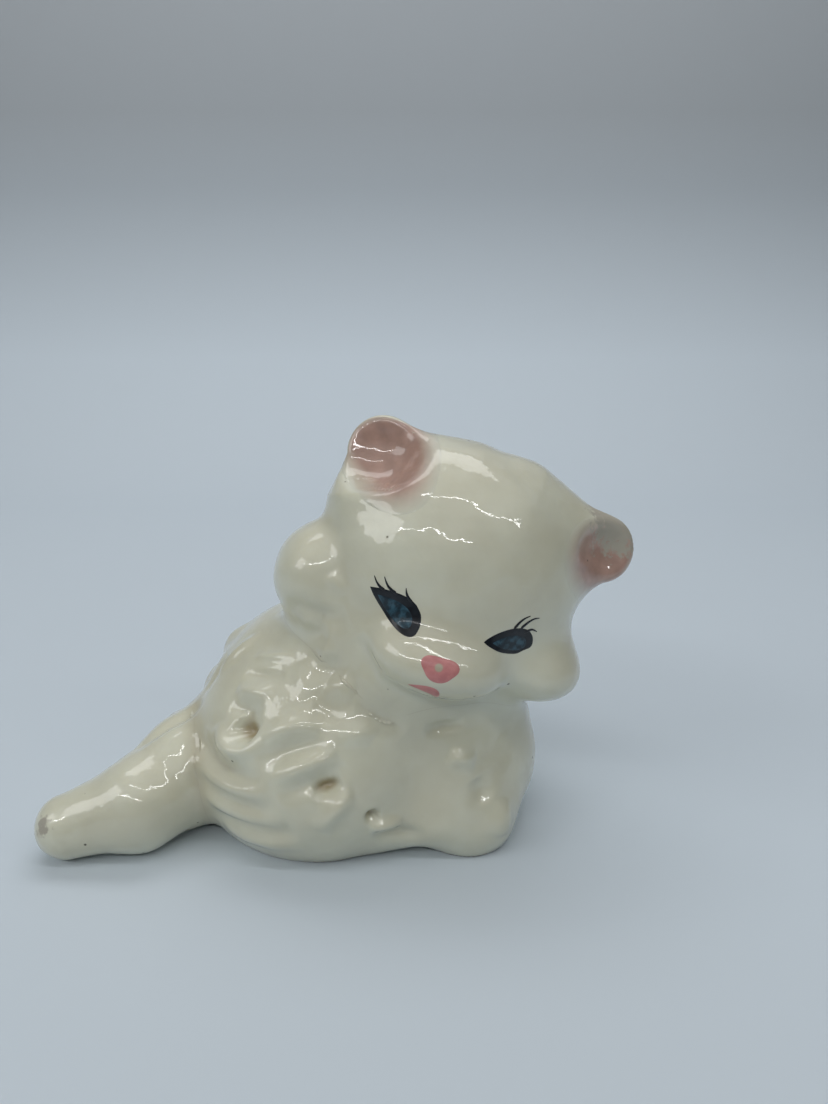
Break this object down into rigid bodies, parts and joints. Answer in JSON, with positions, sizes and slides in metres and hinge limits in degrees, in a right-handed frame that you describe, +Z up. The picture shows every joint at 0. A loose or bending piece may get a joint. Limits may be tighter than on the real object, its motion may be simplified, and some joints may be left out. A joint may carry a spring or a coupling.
{
  "type": "ceramic cat figurine",
  "caption": "Sitting kitten figurine in glazed, hand-painted earthenware, slip-cast hollow in head, body and tail, that stands on its own flat foot.",
  "frame": {"origin": "on the resting plane, under the body", "axes": "+Z up, -Y the way the chest faces, +X the kitten's left side"},
  "size_m": [0.0767, 0.0766, 0.0697],
  "materials": {
    "ivory_glaze": "clear high-gloss glaze over ivory white earthenware, with pinholes and worn tips",
    "luting_slip": "fired casting slip, matt",
    "ear_pink": "soft pink underglaze stain under the clear glaze",
    "eye_black": "blue-black enamel, brushed and fired, glossy",
    "eye_blue": "dark blue enamel, brushed and fired, glossy",
    "nose_pink": "rose pink enamel, brushed and fired, half gloss"
  },
  "bodies": {
    "root": {"body_casting": "ivory_glaze", "head_casting": "ivory_glaze", "tail_casting": "ivory_glaze", "neck_slip_joint": "luting_slip", "tail_slip_joint": "luting_slip", "right_ear_pink": "ear_pink", "left_ear_pink": "ear_pink", "right_eye_outline": "eye_black", "left_eye_outline": "eye_black", "right_eye_iris": "eye_blue", "left_eye_iris": "eye_blue", "right_eyelashes": "eye_black", "left_eyelashes": "eye_black", "nose_enamel": "nose_pink", "mouth_enamel": "nose_pink"}
  },
  "joints": []
}
